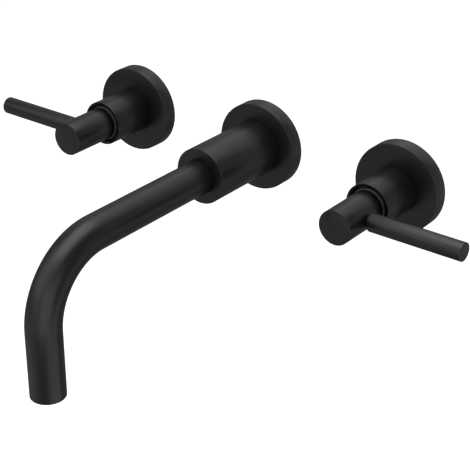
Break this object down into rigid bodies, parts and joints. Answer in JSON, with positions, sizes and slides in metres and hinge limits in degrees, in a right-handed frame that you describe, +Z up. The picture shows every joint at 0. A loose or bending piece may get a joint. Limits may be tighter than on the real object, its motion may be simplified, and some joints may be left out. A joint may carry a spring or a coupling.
{
  "type": "wall mounted bath faucet",
  "caption": "Wall mounted bath faucet in matte black: a right-angled tube spout between two quarter-turn valves with round rod levers, on round flanges.",
  "frame": {"origin": "on the wall's finished face, where the spout's inlet axis meets it", "axes": "+Y into the wall, +X to the right for someone facing the wall, +Z up"},
  "size_m": [0.34, 0.2234, 0.1099],
  "materials": {
    "matte_black": "satin matte powder coat",
    "brass": "turned brass",
    "steel": "plain stainless steel",
    "black_steel": "blackened steel",
    "ceramic": "lapped alumina",
    "black_rubber": "moulded rubber",
    "foam": "closed-cell foam",
    "black_plastic": "moulded acetal",
    "pale_plastic": "moulded acetal"
  },
  "bodies": {
    "root": {"left_escutcheon": "matte_black", "left_escutcheon_seal": "foam", "left_sleeve": "matte_black", "left_headwork_body": "brass", "left_body_o_ring": "black_rubber", "left_fixed_disc": "ceramic", "left_seat_seal": "black_rubber", "spout_escutcheon": "matte_black", "spout_escutcheon_seal": "foam", "spout_collar": "matte_black", "collar_grub_screw": "black_steel", "spout_tube": "matte_black", "wall_nipple": "brass", "nipple_washer": "black_rubber", "spout_adapter": "brass", "adapter_o_ring_rear": "black_rubber", "adapter_o_ring_front": "black_rubber", "aerator_housing": "brass", "aerator_insert": "pale_plastic", "aerator_screen": "steel", "aerator_washer": "black_rubber", "right_escutcheon": "matte_black", "right_escutcheon_seal": "foam", "right_sleeve": "matte_black", "right_headwork_body": "brass", "right_body_o_ring": "black_rubber", "right_fixed_disc": "ceramic", "right_seat_seal": "black_rubber"},
    "left_handle": {"left_guide_ring": "black_plastic", "left_handle_hub": "matte_black", "left_handle_lever": "matte_black", "left_lever_stud": "black_steel", "left_grub_screw": "black_steel", "left_spline_bush": "pale_plastic", "left_spindle": "brass", "left_spindle_o_ring_rear": "black_rubber", "left_spindle_o_ring_front": "black_rubber", "left_spindle_circlip": "steel", "left_thrust_washer": "pale_plastic", "left_moving_disc": "ceramic"},
    "right_handle": {"right_guide_ring": "black_plastic", "right_handle_hub": "matte_black", "right_handle_lever": "matte_black", "right_lever_stud": "black_steel", "right_grub_screw": "black_steel", "right_spline_bush": "pale_plastic", "right_spindle": "brass", "right_spindle_o_ring_rear": "black_rubber", "right_spindle_o_ring_front": "black_rubber", "right_spindle_circlip": "steel", "right_thrust_washer": "pale_plastic", "right_moving_disc": "ceramic"}
  },
  "joints": [
    {"name": "left_handle_turn", "type": "hinge", "parent": "root", "child": "left_handle", "pos_m": [-0.1, -0.0536, 0], "axis": [0, -1, 0], "range_deg": [0, 90]},
    {"name": "right_handle_turn", "type": "hinge", "parent": "root", "child": "right_handle", "pos_m": [0.1, -0.0536, 0], "axis": [0, 1, 0], "range_deg": [0, 90]}
  ]
}
